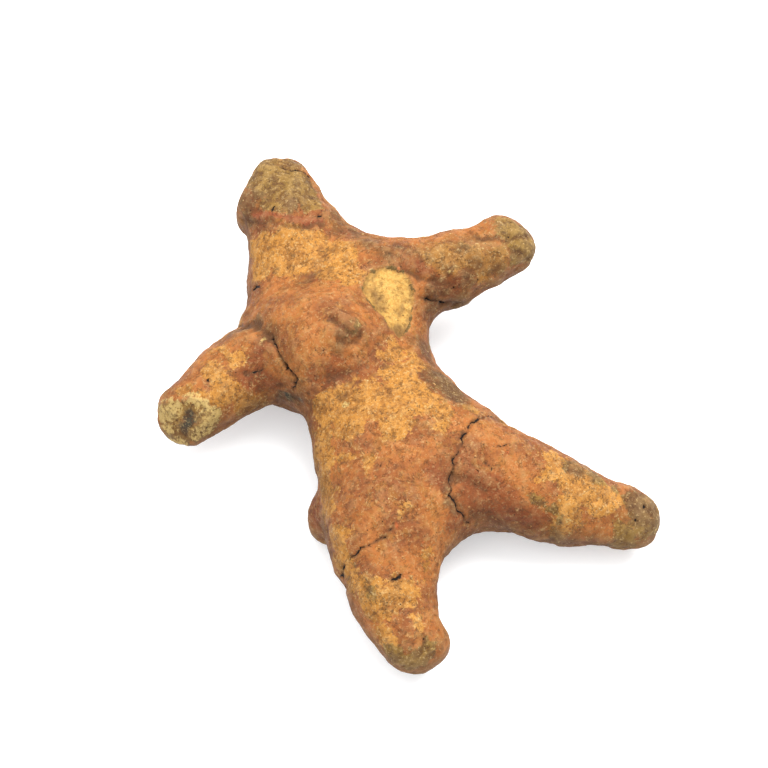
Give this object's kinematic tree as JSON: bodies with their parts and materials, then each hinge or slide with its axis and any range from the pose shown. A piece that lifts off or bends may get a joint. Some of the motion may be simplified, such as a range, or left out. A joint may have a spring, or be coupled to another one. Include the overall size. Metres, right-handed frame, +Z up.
{
  "type": "pottery figure",
  "caption": "Hand-modelled pottery figure with stump limbs, spread legs and one breast, broken and glued, lying on its back.",
  "frame": {"origin": "on the surface that the figure lies on, under the middle of its box", "axes": "+Y towards the head, +Z up out of its front, +X towards the figure's own left"},
  "size_m": [0.104, 0.141, 0.0385],
  "materials": {
    "terracotta": "matt worn fired clay"
  },
  "bodies": {
    "root": {"figure": "terracotta"}
  },
  "joints": []
}
